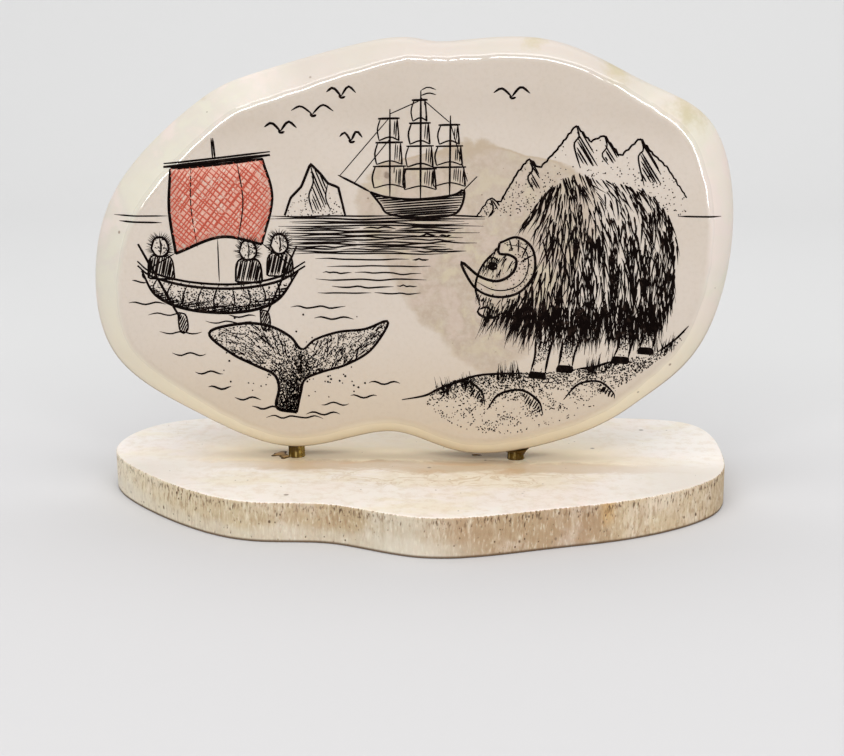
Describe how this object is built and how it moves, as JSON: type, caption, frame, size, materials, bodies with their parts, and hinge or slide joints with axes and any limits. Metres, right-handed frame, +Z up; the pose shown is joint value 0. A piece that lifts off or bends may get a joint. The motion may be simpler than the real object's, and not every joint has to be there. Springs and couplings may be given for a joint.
{
  "type": "scrimshaw ivory panel",
  "caption": "Polished slice of walrus tusk with an engraved arctic scene, standing on brass pins on a flat bone slab.",
  "frame": {"origin": "middle of the bone slab's underside, which is also the middle of the whole object's outline from above", "axes": "+X along the panel's length, to the right as its face is seen; -Y the way the engraved face looks; +Z up"},
  "size_m": [0.0819, 0.0457, 0.059],
  "materials": {
    "ivory": "polished",
    "bone": "matte",
    "brass": "satin",
    "black_ink": "matte",
    "red_ink": "matte"
  },
  "bodies": {
    "root": {"base": "bone", "panel": "ivory", "pin_left": "brass", "pin_right": "brass"}
  },
  "joints": []
}
